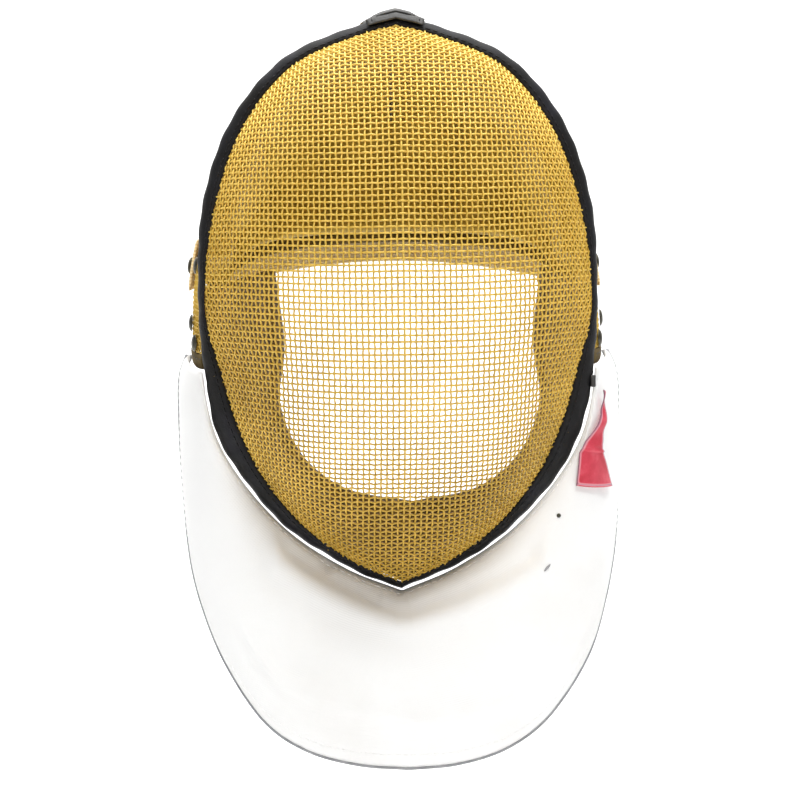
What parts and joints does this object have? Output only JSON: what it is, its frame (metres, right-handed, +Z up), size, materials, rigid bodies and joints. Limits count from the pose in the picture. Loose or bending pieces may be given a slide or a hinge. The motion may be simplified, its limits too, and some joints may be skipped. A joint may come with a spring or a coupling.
{
  "type": "fencing mask",
  "caption": "Fencing mask: creased gold wire face with black trim, wire crown, dark padding, white throat bib, rear tongue and elastic strap.",
  "frame": {"origin": "where the crown of the wearer's head meets the padding inside, the mount head_seat", "axes": "+Z up, the mask faces -Y, +X to the right of someone who looks at its face"},
  "size_m": [0.2338, 0.2137, 0.3893],
  "materials": {
    "gold_wire": "gold lacquered woven steel wire, satin",
    "black_binding": "black leatherette binding, semi-matt",
    "dark_padding": "dark brushed padding",
    "white_cloth": "white woven cloth, matt",
    "red_cloth": "red woven patch with a stitched pale edge",
    "grey_cover": "grey leatherette, semi-matt",
    "pale_elastic": "pale ribbed elastic",
    "dark_rivet": "dark oxidised rivet head"
  },
  "bodies": {
    "root": {"face_mesh": "gold_wire", "face_trim": "black_binding", "crown_mesh": "gold_wire", "rear_trim": "black_binding", "crown_pad": "dark_padding", "chin_pad": "dark_padding", "bib": "white_cloth", "side_patch": "red_cloth", "tongue": "grey_cover", "tongue_cover": "grey_cover", "back_strap": "pale_elastic", "strap_rivet_left": "dark_rivet", "strap_rivet_right": "dark_rivet", "temple_rivet_left": "dark_rivet", "temple_rivet_right": "dark_rivet", "ear_rivet_left": "dark_rivet", "ear_rivet_right": "dark_rivet", "corner_rivet_left": "dark_rivet", "corner_rivet_right": "dark_rivet", "trim_tab": "grey_cover"}
  },
  "joints": []
}
